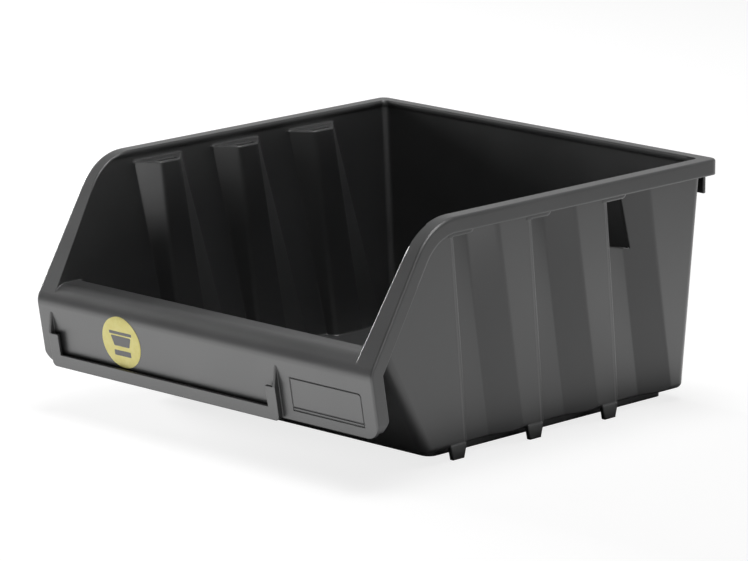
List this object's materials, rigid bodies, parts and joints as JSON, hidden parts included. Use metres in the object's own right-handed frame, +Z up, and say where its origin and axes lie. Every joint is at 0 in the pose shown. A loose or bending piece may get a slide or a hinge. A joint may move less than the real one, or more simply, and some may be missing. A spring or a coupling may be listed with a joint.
{
  "type": "open-front stacking tote",
  "caption": "Open-front conductive plastic tote with fluted walls, stacking shelves and feet, a hanging lip, a label holder and a round front sticker.",
  "frame": {"origin": "under the middle of the tote's overall width and length, at the lowest faces of its feet", "axes": "+Z up, +Y from the low front panel to the back wall, +X to the right as the front is faced"},
  "size_m": [0.375, 0.4, 0.2],
  "materials": {
    "conductive_plastic": "fine matt moulding grain, dark grey",
    "printed_film": "satin printed film"
  },
  "bodies": {
    "root": {"bin_body": "conductive_plastic", "round_sticker": "printed_film"}
  },
  "joints": []
}
